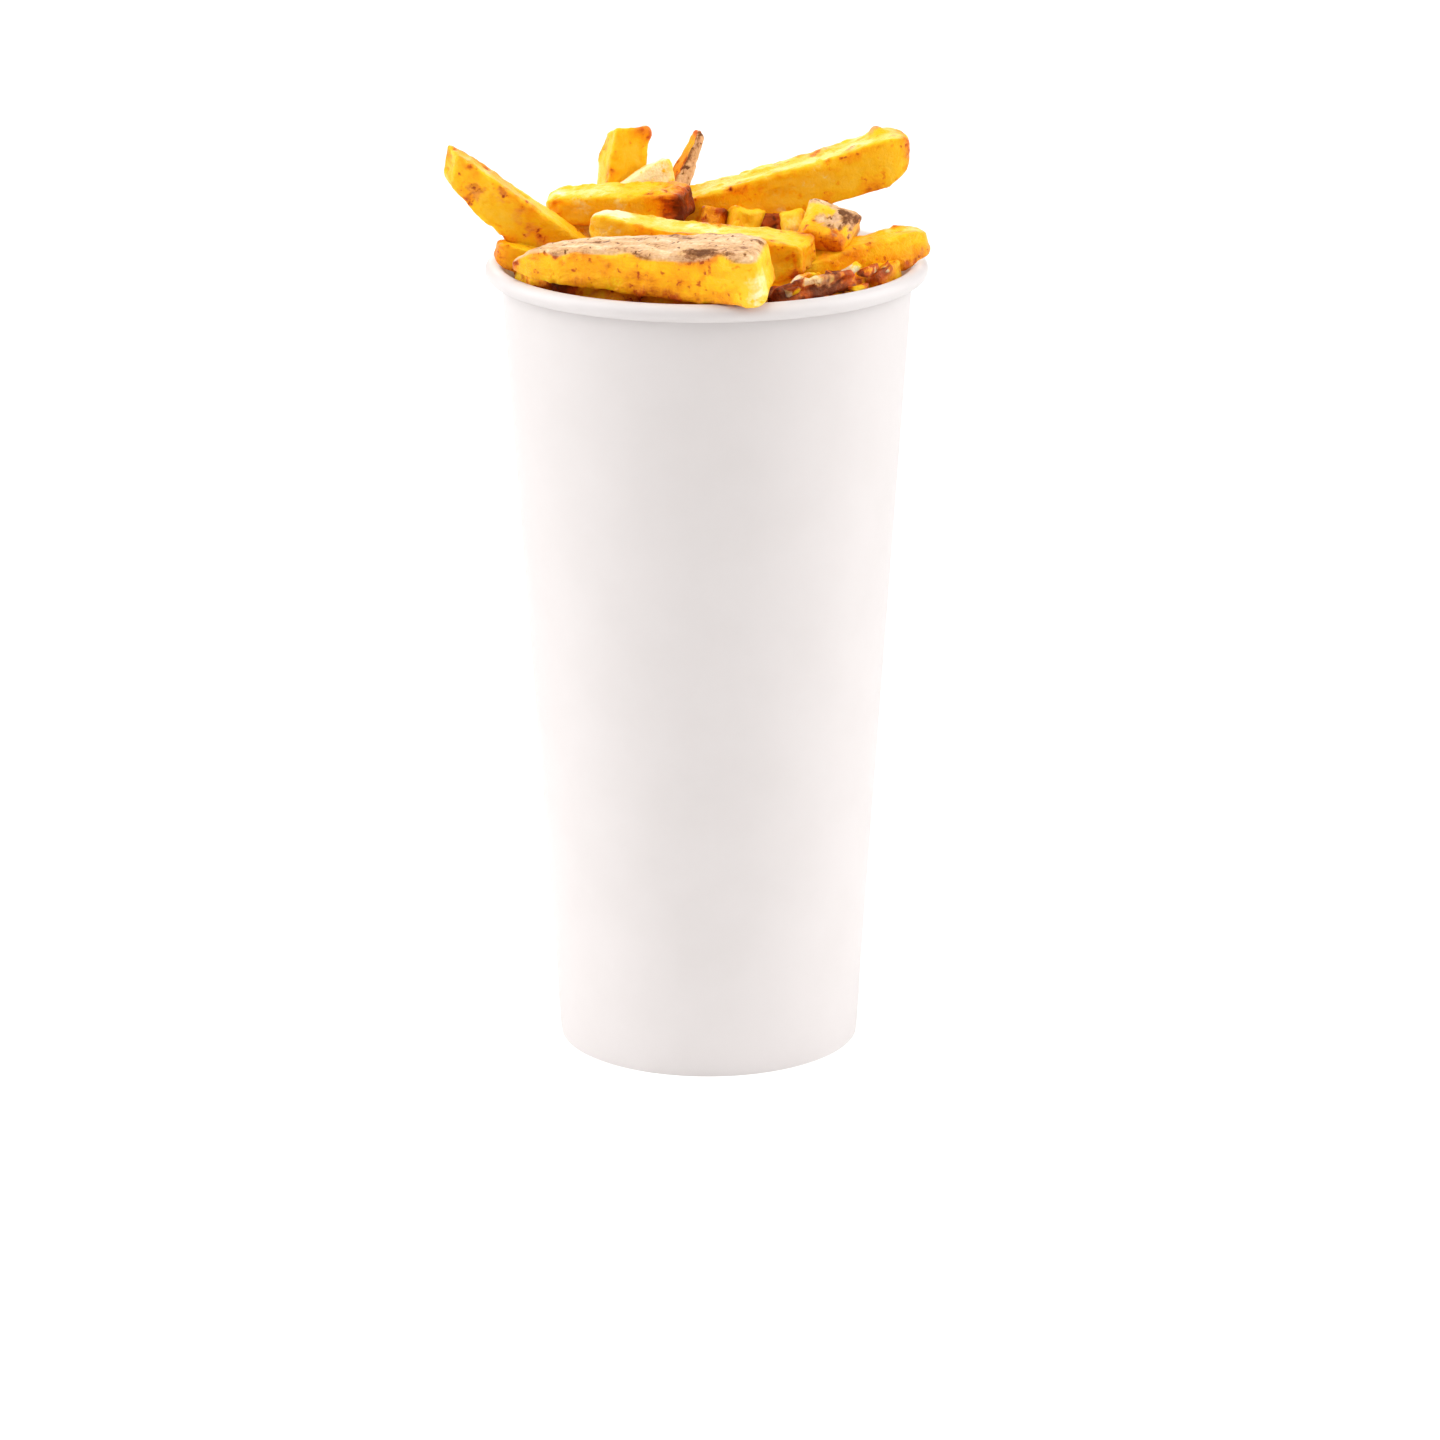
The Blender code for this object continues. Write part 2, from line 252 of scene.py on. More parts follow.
def buildCupWall(material):
    # radius(k, heading) = section radius + lift over the lapped seam + the hem's swell + a slow waver inwards
    radius, height, face = wallSection()
    lap = cup["seamLap"] / cup["rimRadius"]
    edge = math.radians(cup["seamHeading"]) + lap / 2
    near = edge + np.array([-0.012, -0.006, -0.003, -0.0012, 0.0, 0.0012, 0.003, 0.006, 0.012])
    even = np.linspace(0, 2 * math.pi, cup["aroundPoints"], endpoint=False)
    even = even[np.abs(even - edge) > 0.016]
    heading = np.sort(np.concatenate([even, near]))
    r = np.repeat(radius[None, :], len(heading), axis=0)
    h = heading[:, None]
    lift = cup["seamStep"] * (1 - softStep(h, edge - 0.001, edge + 0.001))
    lift = lift * softStep(h, edge - 2 * lap, edge - lap)
    onOuter = (face == "outer")[None, :]
    onRoll = (face == "roll")[None, :]
    r = r + lift * onOuter * (1 - softStep(height, 0.158, 0.1625))[None, :]
    r = r - 0.4 * lift * onRoll * (height > 0.1632)[None, :]
    swell = 0.07 * mm * (1 - softStep(height, cup["baseHeight"] - 0.6 * mm, cup["baseHeight"] + 1.6 * mm))
    r = r + (swell * (face == "outer") * softStep(height, 0, 1 * mm))[None, :]
    x, y = r * np.cos(h), r * np.sin(h)
    z = np.repeat(height[None, :], len(heading), axis=0)
    spot = np.stack([x, y, z], axis=-1)
    waver = cup["waver"] * (0.7 * lumps(spot, 34 * mm, 5) + 0.3 * lumps(spot, 12 * mm, 6))
    waver = waver * softStep(z, 0.0, 20 * mm)
    waver = np.minimum(waver, 0) * (onRoll | onOuter) * np.where(onRoll, 0.6, 1.0)
    spot[..., 0] += waver * np.cos(h)
    spot[..., 1] += waver * np.sin(h)
    count = len(height)
    quads = ringQuads(len(heading) + 1, count, flip=True) % (len(heading) * count)
    none = np.zeros((0, 3), int)
    piece = meshPiece("cupWall", spot.reshape(-1, 3), quads, none, material, sharpAngle=50)
    dress(piece, "cup_board", "cup_wall")


def buildCupBase(material):
    # a disc with a shallow pressed ring, and a skirt that goes down into the hem
    board, gap, top = cup["board"], cup["gap"], cup["baseHeight"]
    foot = board + gap
    outer, inner = board + gap, 2 * board + gap
    disc = np.linspace(0.4 * mm, wallRadius(top) - outer - 0.5 * mm, 26)
    pressed = 0.25 * mm * (softStep(disc, 22 * mm, 23.5 * mm) - softStep(disc, 25.5 * mm, 27 * mm))
    baseUnder = top - board
    radius = np.concatenate([
        disc, [wallRadius(top) - outer - 0.1 * mm, wallRadius(top) - outer],
        [wallRadius(foot + 4 * mm) - outer, wallRadius(foot) - outer, wallRadius(foot) - inner],
        [wallRadius(foot + 4 * mm) - inner, wallRadius(baseUnder) - inner], disc[::-1][2:],
    ])
    height = np.concatenate([
        top - pressed, [top - 0.05 * mm, top - 0.3 * mm],
        [foot + 4 * mm, foot, foot],
        [foot + 4 * mm, baseUnder], (baseUnder - pressed)[::-1][2:],
    ])
    around = cup["basePoints"]
    h = np.linspace(0, 2 * math.pi, around, endpoint=False)
    x, y = np.outer(radius, np.cos(h)), np.outer(radius, np.sin(h))
    ring = np.stack([x, y, np.repeat(height[:, None], around, 1)], axis=-1)
    points = np.concatenate([ring.reshape(-1, 3), [[0, 0, top], [0, 0, baseUnder]]])
    quads = ringQuads(len(radius), around)
    triangles = capTriangles(len(radius), around)
    piece = meshPiece("cupBase", points, quads, triangles, material, sharpAngle=50)
    dress(piece, "cup_board", "cup_base")


cupBoard = cupBoardMaterial()
buildCupWall(cupBoard)
buildCupBase(cupBoard)
print("paper cup: wall, rolled rim, seam and base")


# where the fries lie, in the heap's own frame: the 16 that the solids have too, some moved a little to follow
# the photo's outline, then the ones between them, and the seeded ones by the solids' rule.
# tip and tail are the middles of the ends (X right, Y away from the viewer), side is width and height, roll
# in degrees. angles round a fry: 0 is its +side face, 90 its upper face. Cut leans an end, Round and Flat
# shape it, Hollow dents it, tipDraw thins the tip, tipBrown and tailBrown darken an end, faceTone is (angle,
# brown) of painted shade on the face turned that way, knobs are (t, angle, width, height) and patches (t,
# angle, width, brown, skin), where t runs from tip to tail; a few patches paint shade and a few paint
# highlight

def fry(tip, tail, side, roll=0.0, bow=0.0, tipSize=1.0, tailSize=1.0, **look):
    return {
        "tip": Vector(tip), "tail": Vector(tail), "side": side, "roll": math.radians(roll),
        "bow": bow, "tipSize": tipSize, "tailSize": tailSize, **look,
    }


shownFries = {
    "leftLean": fry(
        (-0.0515, -0.0080, 0.1860), (0.0030, 0.0090, 0.1380), (0.0114, 0.0116), 10, -0.0004, 0.66, 0.9,
        kind="golden", tone=0.07, tipCut=(0.3, -0.70), tipRound=1.6 * mm, tipFlat=0.7, tipBrown=-0.08,
        patches=(
            (0.07, -8, 1.5 * mm, 0.24, 0.15), (0.15, 28, 1.3 * mm, 0.22, 0.15),
            (0.23, 14, 1.6 * mm, 0.10, 0.10), (0.28, 4, 1.9 * mm, 0.16, 0.15),
            (0.33, -6, 2.0 * mm, 0.12, 0.10), (0.37, -14, 1.7 * mm, 0.20, 0.15),
            (0.42, -24, 1.5 * mm, 0.24, 0.15),
        ),
    ),
    "leftEnd": fry(
        (-0.0425, -0.0087, 0.1687), (-0.0130, -0.0030, 0.1600), (0.0062, 0.0060), 8, 0.0, 0.90,
        kind="golden", tone=0.12, tipRound=1.8 * mm, tipFlat=0.5, tipBrown=0.16,
    ),
    "backUpright": fry(
        (-0.0163, 0.0240, 0.1870), (-0.0235, 0.0215, 0.1310), (0.0082, 0.0072), 3, 0.0, 1.18,
        kind="golden", tone=0.0, tipCut=(0.30, 0.05), tipBrown=-0.05, tipHollow=1.3 * mm, tipRound=0.8 * mm,
        knobs=((0.012, 245, 1.7 * mm, 1.0 * mm), (0.012, 120, 1.2 * mm, 0.3 * mm)),
        patches=((0.012, 250, 1.6 * mm, 0.12, 0.6),),
    ),
    "thinTip": fry(
        (-0.0014, 0.0258, 0.1862), (-0.0187, 0.0090, 0.1500), (0.0066, 0.0060), 12, 0.0, 0.34,
        kind="skinned", tone=0.26, skinFace=2,
    ),
    "paleStub": fry(
        (-0.0072, 0.0170, 0.1801), (-0.0300, 0.0120, 0.1650), (0.0072, 0.0074), 10, 0.0, 0.9,
        kind="pale", tone=-0.09, tipCut=(0.1, -0.35),
    ),
    "backBar": fry(
        (-0.0325, 0.0100, 0.1736), (-0.0036, 0.0040, 0.1756), (0.0080, 0.0076), 12, 0.0003, 0.9,
        # painted shade: faceTone browns the front face, and tailBrown with the patch at t 0.98 darkens the
        # right end to dark red-brown, where it lies in shade
        kind="golden", tone=0.02, faceTone=(0, 0.06), tipRound=2.2 * mm, tipFlat=0.5, tailBrown=0.58,
        patches=(
            (0.02, 60, 4.0 * mm, -0.14, 0.0), (0.98, -50, 2.0 * mm, 0.20, 0.0),
            # painted highlight: this patch makes the upper face paler, as it is lit from above
            (0.35, 90, 8.0 * mm, -0.12, 0.0),
        ),
    ),
    "longBar": fry(
        (0.0412, 0.0125, 0.1849), (-0.0140, 0.0150, 0.1699), (0.0096, 0.0096), -6, -0.0010, 1.18, 0.85,
        # painted shade: faceTone browns the front face, which lies in shade
        kind="golden", tone=-0.04, faceTone=(180, 0.03), tipBrown=0.08,
        tipCut=(0.1, -0.30), tipRound=5.5 * mm, tipFlat=0.34,
        knobs=((0.115, 78, 1.6 * mm, 1.7 * mm), (0.19, 100, 2.5 * mm, 0.4 * mm)),
        patches=((0.115, 78, 1.4 * mm, 0.30, 0.5), (0.19, 110, 1.5 * mm, 0.22, 0.2)),
    ),
    "frontSkin": fry(
        (-0.0385, -0.0200, 0.1692), (0.0119, -0.0432, 0.1718), (0.0108, 0.0102), 8, 0.0, 0.62, 1.16,
        kind="skinned", tone=0.12, skinFace=1, tipSkin=True, tailBrown=-0.12,
        tipRound=7.0 * mm, tipFlat=0.20, tipDraw=0.55, tailRound=2.0 * mm, tailFlat=0.62,
        knobs=((0.955, -32, 3.2 * mm, 1.3 * mm), (0.90, 25, 3.0 * mm, 0.5 * mm)),
        patches=(
            (0.95, 10, 6.0 * mm, -0.17, 0.0), (0.20, 30, 0.9 * mm, 0.35, 0.0),
            # painted shade: this patch browns the lower front face, which lies in shade above the rim
            (0.55, -40, 6.0 * mm, 0.14, 0.0),
        ),
    ),
    "middleBar": fry(
        (-0.0232, -0.0060, 0.1736), (0.0205, -0.0175, 0.1690), (0.0088, 0.0088), 6, -0.0014, 0.78,
        # painted shade: faceTone browns the front face, and tailBrown with the patch at t 0.97 darkens the
        # right end face, where they lie in shade
        kind="golden", tone=-0.08, faceTone=(0, 0.10), tipBrown=-0.18, tailBrown=0.14,
        tipRound=3.6 * mm, tipFlat=0.38,
        patches=(
            # painted highlight: the second patch here, at t 0.55 on the upper face, makes it paler, as it is
            # lit from above
            (0.03, 40, 6.5 * mm, -0.20, 0.0), (0.55, 90, 6.0 * mm, -0.14, 0.0),
            (0.97, -40, 2.5 * mm, 0.16, 0.0),
        ),
    ),
    "skinEnd": fry(
        (0.0243, -0.0120, 0.1750), (0.0230, 0.0230, 0.1580), (0.0114, 0.0104), 20, 0.0, 0.98,
        kind="skinned", tone=0.06, skinFace=1, tipBrown=-0.06,
        tipCut=(0.0, 0.42), tipRound=2.6 * mm, tipFlat=0.55,
        patches=(
            (0.005, 55, 3.4 * mm, 0.12, 1.0), (0.02, 35, 3.0 * mm, 0.45, 1.0),
            (0.0, 100, 2.4 * mm, 0.1, 0.9), (0.02, 150, 3.6 * mm, -0.05, 0.0),
            (0.03, 290, 3.4 * mm, 0.22, 0.0),
        ),
    ),
    "rightBar": fry(
        (0.0443, -0.0032, 0.1698), (0.0085, -0.0165, 0.1618), (0.0082, 0.0096), -6, 0.0, 0.66,
        # painted shade: faceTone browns the lower front face, which lies in shade
        kind="golden", tone=0.04, faceTone=(220, 0.05), tipRound=2.2 * mm, tipFlat=0.5, tipBrown=-0.06,
        patches=((0.02, 200, 1.8 * mm, 0.12, 0.2),),
    ),
    "rimCrisp": fry(
        (0.0290, -0.0235, 0.1660), (0.0125, -0.0335, 0.1634), (0.0056, 0.0048), 15, 0.0, 0.8,
        # its dark red tone is partly the crisps' own colour and partly painted shade of the hollow by the rim
        kind="crisp", tone=0.16, tipRound=1.6 * mm, tipFlat=0.4, rough=2.0,
        patches=(
            (0.08, 130, 3.0 * mm, -0.26, 0.0), (0.26, 120, 2.6 * mm, -0.34, 0.2),
            (0.40, 150, 2.4 * mm, -0.42, 0.5), (0.54, 130, 2.2 * mm, -0.52, 0.95),
            (0.85, 150, 3.2 * mm, 0.08, 0.0),
        ),
    ),
    "gapLeft": fry(
        (0.0082, 0.0005, 0.1726), (0.0040, 0.0240, 0.1590), (0.0084, 0.0078), 10, 0.0, 0.95,
        kind="golden", tone=0.06, tipRound=2.2 * mm, tipFlat=0.45, tipBrown=-0.18,
    ),
    "gapRight": fry(
        (0.0172, -0.0010, 0.1732), (0.0225, 0.0240, 0.1560), (0.0058, 0.0064), -12, 0.0, 0.9,
        kind="pale", tone=0.0, tipBrown=-0.1,
    ),
    "frontProp": fry(
        (-0.0300, -0.0190, 0.1624), (0.0130, -0.0305, 0.1606), (0.0094, 0.0092), 5,
        kind="browned", tone=0.1, tipRound=2.5 * mm, tipBrown=0.3,
    ),
    "middleProp": fry(
        (-0.0090, -0.0190, 0.1640), (-0.0130, 0.0260, 0.1672), (0.0094, 0.0092), 5,
        kind="golden", tone=0.1,
    ),
}

# the ones that show in the gaps between them
gapFries = {
    "rightProp": fry(
        (0.0356, -0.0068, 0.1626), (0.0198, -0.0300, 0.1604), (0.0080, 0.0078), 5, 0.0, 0.9,
        kind="browned", tone=0.05,
    ),
    "rightUnder": fry(
        (0.0255, -0.0110, 0.1592), (0.0075, -0.0240, 0.1590), (0.0082, 0.0080), 5, 0.0, 0.9,
        kind="golden", tone=0.22,
    ),
    "leftProp": fry(
        (-0.0344, -0.0010, 0.1612), (-0.0306, -0.0160, 0.1604), (0.0076, 0.0076), 8, 0.0, 0.9,
        kind="golden", tone=0.2,
    ),
    "rightEdge": fry(
        (0.0372, -0.0066, 0.1636), (0.0326, -0.0190, 0.1630), (0.0052, 0.0062), 5, 0.0, 0.85,
        kind="browned", tone=-0.05,
    ),
    "leftEdge": fry(
        (-0.0372, -0.0066, 0.1622), (-0.0326, -0.0190, 0.1622), (0.0052, 0.0060), 5, 0.0, 0.85,
        kind="golden", tone=0.16,
    ),
    "gapMiddle": fry(
        (0.0130, 0.0030, 0.1712), (0.0134, 0.0270, 0.1570), (0.0066, 0.0074), 5, 0.0, 0.95,
        kind="golden", tone=0.22,
    ),
    # painted shadow: a dark crisp fry set in the gap by the back bar's right end, where there is only shade
    "gapShadowCrisp": fry(
        (0.0008, 0.0030, 0.1728), (0.0015, 0.0150, 0.1660), (0.0062, 0.0068), 14, 0.0, 0.9,
        kind="crisp", tone=0.0,
    ),
}

# the seeded fries: the most that there may be, ranges of their sides and lengths, how far out and how high a
# tip lies, how far it points past the axis (radians), how steeply it goes down, the least between two centre
# lines, and a tone of level + swing * sin(beat * number)
fill = {
    "seed": 11,
    "count": 46,
    "tries": 7000,
    "side": (0.0072, 0.0094),
    "length": (0.034, 0.070),
    "reach": 0.0375,
    "swing": 1.8,
    "top": (0.154, 0.163),
    "rise": (math.radians(4), math.radians(70)),
    "apart": 0.0056,
    "roll": 30,
    "bow": 0.0015,
    "tipSize": (0.8, 1.05),
    "tone": (0.08, 0.08, 2.4),
    "kinds": ("golden", "golden", "pale", "browned", "golden", "skinned"),
}

# shorter fries lower in the mouth, seen through the gaps; every second one is drawn near the wall
under = {
    "seed": 4,
    "count": 84,
    "tries": 9000,
    "side": (0.0062, 0.0084),
    "length": (0.018, 0.042),
    "wallLength": (0.010, 0.020),
    "height": (0.1430, 0.1590),
    "offWall": 0.0052,
    "rise": math.radians(14),
    "apart": 0.0034,
    "roll": 40,
    "bow": 0.0012,
    "tipSize": (0.6, 1.0),
    "tone": (0.14, 0.10, 1.7),
    "kinds": ("browned", "golden", "golden", "browned", "skinned", "pale"),
}

endSwell = ((0.0, 0.80), (0.12, 0.97), (0.5, 1.0), (0.88, 0.97), (1.0, 0.80))  # t and share of the section
cornerCut = 0.26  # a plain fry's cut corner, as a share of its half side
wallClear = 1.1 * mm  # from the outer face of the wall
rimClear = 0.1653  # above this nothing is in a fry's way
baseClear = 0.0093


def fryAxes(one):
    # unit vectors along the fry, across it and up it, after its roll
    forward = (one["tail"] - one["tip"]).normalized()
    sideways = forward.cross(Vector((0, 0, 1)))
    sideways = sideways.normalized() if sideways.length > 0.05 else Vector((1, 0, 0))
    upward = sideways.cross(forward)
    turn = Matrix.Rotation(one["roll"], 3, forward)
    return forward, turn @ sideways, turn @ upward


def clearOfCup(one):
    # the corners of the plain fry stay inside the wall, or above the rim
    forward, sideways, upward = fryAxes(one)
    length = (one["tail"] - one["tip"]).length
    w, h = one["side"][0] / 2, one["side"][1] / 2
    cut = cornerCut * min(w, h)
    corners = [(w, h - cut), (w - cut, h), (cut - w, h), (-w, h - cut)]
    corners += [(-x, -y) for x, y in corners]
    for t, swell in endSwell:
        size = swell * (1 + (one["tipSize"] - 1) * (1 - t) ** 2 + (one["tailSize"] - 1) * t**2)
        middle = one["tip"] + forward * t * length + upward * one["bow"] * 4 * t * (1 - t)
        for x, y in corners:
            spot = middle + sideways * x * size + upward * y * size
            if spot.z < rimClear and math.hypot(spot.x, spot.y) > wallRadius(spot.z) - wallClear:
                return False
            if spot.z < baseClear:
                return False
    return True


def linePoints(one):
    # seven points along a fry's centre line
    t = np.linspace(0, 1, 7)[:, None]
    return np.array(one["tip"]) * (1 - t) + np.array(one["tail"]) * t


def nearest(one, lines):
    # least distance from this fry's centre line to the others'
    others = np.concatenate(lines)
    return np.linalg.norm(linePoints(one)[:, None] - others[None], axis=-1).min()


def fillEnds(draw, turn):
    # a tip near the mouth and a tail lower down, whatever the turn
    reach = fill["reach"] * math.sqrt(draw.random())
    heading = draw.uniform(0, 2 * math.pi)
    tip = Vector((reach * math.cos(heading), reach * math.sin(heading), draw.uniform(*fill["top"])))
    rise = draw.uniform(*fill["rise"])
    away = heading + math.pi + draw.uniform(-fill["swing"], fill["swing"])
    side = draw.uniform(*fill["side"])
    return tip, tip + pointing(away, -rise) * draw.uniform(*fill["length"]), side


def underEnds(draw, turn):
    # a short one that lies nearly flat
    byWall = turn % 2
    z = draw.uniform(*under["height"])
    share = draw.uniform(0.88, 1.0) if byWall else math.sqrt(draw.random())
    reach = (wallRadius(z) - under["offWall"]) * share
    heading, away = draw.uniform(0, 2 * math.pi), draw.uniform(0, 2 * math.pi)
    if byWall or reach > 0.6 * wallRadius(z):
        away = heading + math.pi / 2 + draw.uniform(-0.6, 0.6)
    middle = Vector((reach * math.cos(heading), reach * math.sin(heading), z))
    along = pointing(away, draw.uniform(-under["rise"], under["rise"]))
    half = along * draw.uniform(*under["wallLength" if byWall else "length"]) / 2
    return middle - half, middle + half, draw.uniform(*under["side"])


def seededFries(rule, drawEnds, others):
    # fries are drawn one by one and kept where they clear the cup, the others and the ones before
    draw = random.Random(rule["seed"])
    lines = [linePoints(one) for one in others]
    level, swing, beat = rule["tone"]
    kept = []
    for turn in range(rule["tries"]):
        tip, tail, side = drawEnds(draw, turn)
        one = fry(
            tip, tail, (side, side * draw.uniform(0.85, 1.1)), draw.uniform(-rule["roll"], rule["roll"]),
            draw.uniform(-rule["bow"], rule["bow"]), draw.uniform(*rule["tipSize"]),
        )
        if clearOfCup(one) and nearest(one, lines) > rule["apart"]:
            number = len(kept)
            one["kind"] = rule["kinds"][number % len(rule["kinds"])]
            one["tone"] = level + swing * math.sin(beat * number)
            one["skinFace"] = number % 4
            lines.append(linePoints(one))
            kept.append(one)
        if len(kept) == rule["count"]:
            break
    return kept


# the surface of one fry

fryLook = {
    "step": 0.55 * mm,  # distance between rings of points
    "aroundPoints": 72,
    "cornerPull": 0.13,  # radians that the points are drawn towards the corners
    "cornerPower": 12.0,  # higher is a sharper knife edge
    "roundEnd": (0.7, 1.8),  # mm of rounding at an end
    "leanEnd": 0.28,
    "hollowEnd": 0.40 * mm,
    "sunkenFace": 0.050,  # how far the middle of a face sinks, as a share of the half side
    "drawn": 0.34,  # share of the length over which tipDraw thins a tip
    "droop": 2.6 * mm,  # how far a thinned tip hangs
    "wander": 0.60 * mm,
    "twist": math.radians(10),
    "shear": 0.12,
    # size and height of each kind of lump, then the heights of the finer relief
    "lumps": ((9.0 * mm, 0.26 * mm), (3.4 * mm, 0.12 * mm), (1.5 * mm, 0.075 * mm), (0.8 * mm, 0.045 * mm)),
    "wrinkle": 0.085 * mm,
    "blister": 0.20 * mm,
    "pit": 0.24 * mm,
    "raggedEdge": 0.30 * mm,
    "skinDome": 0.5 * mm,
    "endFade": 2.6 * mm,  # how far the browning of an end reaches
}

# browning of each kind: everywhere, at the ends, along the edges, in patches
fryKinds = {
    "golden": (0.31, 0.24, 0.24, 0.10),
    "pale": (0.09, 0.16, 0.16, 0.09),
    "browned": (0.44, 0.30, 0.24, 0.20),
    "skinned": (0.30, 0.22, 0.22, 0.12),
    "crisp": (0.74, 0.20, 0.15, 0.35),
}


def endRows(roundLength, flat, step):
    # share of the section and distance along for an end: a flat that grows, then a quarter ellipse
    bend = np.linspace(0, math.pi / 2, max(7, int(roundLength / step) + 3))[:-1]
    scale = np.concatenate([flat * np.array([0.10, 0.34, 0.58, 0.82]), flat + (1 - flat) * np.sin(bend)])
    along = np.concatenate([np.zeros(4), roundLength * (1 - np.cos(bend))])
    return scale, along


def surfaceNormals(grid):
    # cross product of the differences along the rows and round the rings
    alongRows = np.gradient(grid, axis=0)
    roundRing = np.roll(grid, -1, axis=1) - np.roll(grid, 1, axis=1)
    normal = np.cross(alongRows, roundRing)
    return normal / np.maximum(np.linalg.norm(normal, axis=-1, keepdims=True), 1e-12)


def fryBody(one, seed, fine, rng):
    # the smooth fry: a rounded square carried along a line, r(angle) = 1 / (|cos|^p + |sin|^p)^(1/p), less a
    # dip in each face; the section swells, tapers, shears, twists and wanders along t, and the ends shrink by
    # a quarter ellipse to a hollowed flat
    look = fryLook
    around = 8 * int(look["aroundPoints"] * fine / 8)
    step = look["step"] / fine
    forward, sideways, upward = (np.array(v) for v in fryAxes(one))
    length = (one["tail"] - one["tip"]).length
    small = min(one["side"])
    tipRound = min(one.get("tipRound", rng.uniform(*look["roundEnd"]) * mm), 0.2 * length)
    tailRound = min(one.get("tailRound", rng.uniform(*look["roundEnd"]) * mm), 0.2 * length)
    tipFlat = one.get("tipFlat", max(0.3, 1 - 1.9 * tipRound / small))
    tailFlat = one.get("tailFlat", max(0.3, 1 - 1.9 * tailRound / small))
    tipScale, tipIn = endRows(tipRound, tipFlat, step)
    tailScale, tailIn = endRows(tailRound, tailFlat, step)
    middle = np.linspace(tipRound, length - tailRound, max(8, int(length / step)))
    along = np.concatenate([tipIn, middle, length - tailIn[::-1]])
    scale = np.concatenate([tipScale, np.ones(len(middle)), tailScale[::-1]])
    t = along / length
    tipSide = np.clip(1 - 4 * t, 0, 1)[:, None]
    tailSide = np.clip(4 * t - 3, 0, 1)[:, None]
    swell = 1 - 0.85 * (1 - np.interp(t, *zip(*endSwell)))
    size = swell * (1 + (one["tipSize"] - 1) * (1 - t) ** 2 + (one["tailSize"] - 1) * t**2)
    thinned = (1 - one.get("tipDraw", 1)) * np.clip(1 - t / look["drawn"], 0, 1) ** 2
    size = size * (1 - thinned)

    even = np.linspace(0, 2 * math.pi, around, endpoint=False)[None, :]
    angle = even + look["cornerPull"] * np.sin(4 * even)
    power = look["cornerPower"] * rng.uniform(0.7, 1.3)
    outline = (np.abs(np.cos(angle)) ** power + np.abs(np.sin(angle)) ** power) ** (-1 / power)
    faceMiddle = 0.5 + 0.5 * np.cos(4 * angle)
    corner = (1 - faceMiddle) ** 3 * scale[:, None] ** 5
    line = np.stack([t * length, np.zeros_like(t), np.full_like(t, seed * 0.37)], axis=-1)
    dip = look["sunkenFace"] * (1 + 0.9 * lumps(line, 0.014, seed + 1)[:, None])
    dip = dip * (1 + 0.6 * np.cos(angle + rng.uniform(0, 6.28)))
    reach = outline * (1 - dip * faceMiddle) * size[:, None] * scale[:, None]
    x = reach * np.cos(angle) * one["side"][0] / 2
    y = reach * np.sin(angle) * one["side"][1] / 2
    widen = 1 + 0.07 * lumps(line, 0.015, seed + 2)[:, None]
    x, y = x * widen, y / widen
    x = x + rng.uniform(-1, 1) * look["shear"] * y

    # the outer face of the potato is domed, with its skin still on
    skin = np.zeros_like(x)
    if one["kind"] == "skinned":
        faceTurn = one.get("skinFace", 1) * math.pi / 2
        outFace = np.cos(angle - faceTurn) * outline
        across = np.sin(angle - faceTurn) * outline
        edgeLine = 0.74 + 0.16 * lumps(line, 0.004, seed + 3)[:, None]
        keepOffEnd = softStep(scale[:, None], 0.70, 0.92)
        if one.get("tipSkin"):
            keepOffEnd = np.where(t[:, None] < 0.5, softStep(outFace, 0.1, 0.4), keepOffEnd)
            edgeLine = edgeLine * np.where(t < 0.5, 0.25 + 0.75 * scale, 1)[:, None]
        skin = softStep(outFace * scale[:, None], edgeLine, edgeLine + 0.10) * keepOffEnd
        dome = look["skinDome"] * np.clip(1 - across**2, 0, 1) * softStep(outFace, 0.6, 0.95)
        x = x + dome * scale[:, None] * np.cos(faceTurn)
        y = y + dome * scale[:, None] * np.sin(faceTurn)

    turn = rng.uniform(-1, 1) * look["twist"] * (t - 0.5)[:, None]
    x, y = x * np.cos(turn) - y * np.sin(turn), x * np.sin(turn) + y * np.cos(turn)
    hold = np.sin(math.pi * t)
    wanderX = look["wander"] * lumps(line, 0.022, seed + 4) * hold
    wanderY = look["wander"] * lumps(line, 0.025, seed + 5) * hold + one["bow"] * 4 * t * (1 - t)
    wanderY = wanderY - look["droop"] * thinned
    tipCut = one.get("tipCut", rng.uniform(-look["leanEnd"], look["leanEnd"], 2))
    tailCut = one.get("tailCut", rng.uniform(-look["leanEnd"], look["leanEnd"], 2))
    tipHollow = one.get("tipHollow", look["hollowEnd"] * rng.uniform(0.3, 1.4))
    tailHollow = look["hollowEnd"] * rng.uniform(0.3, 1.4)
    slant = (tipCut[0] * x + tipCut[1] * y) * tipSide + (tailCut[0] * x + tailCut[1] * y) * tailSide
    slant = slant + (tipHollow * np.clip(1 - (scale / tipFlat) ** 2, 0, 1) * (t < 0.5))[:, None]
    slant = slant - (tailHollow * np.clip(1 - (scale / tailFlat) ** 2, 0, 1) * (t > 0.5))[:, None]
    base = (
        np.array(one["tip"])
        + forward * (along[:, None] + slant)[..., None]
        + sideways * (x + wanderX[:, None])[..., None]
        + upward * (y + wanderY[:, None])[..., None]
    )
    return {
        "base": base, "length": length, "along": along[:, None], "t": t, "angle": angle, "x": x, "y": y,
        "slant": slant, "corner": corner, "skin": skin,
    }


def placeOn(body, t, angle):
    # the point of the smooth fry nearest to t and angle
    rows, around = body["x"].shape
    return body["base"][np.abs(body["t"] - t).argmin(), int(angle / 360 * around) % around]


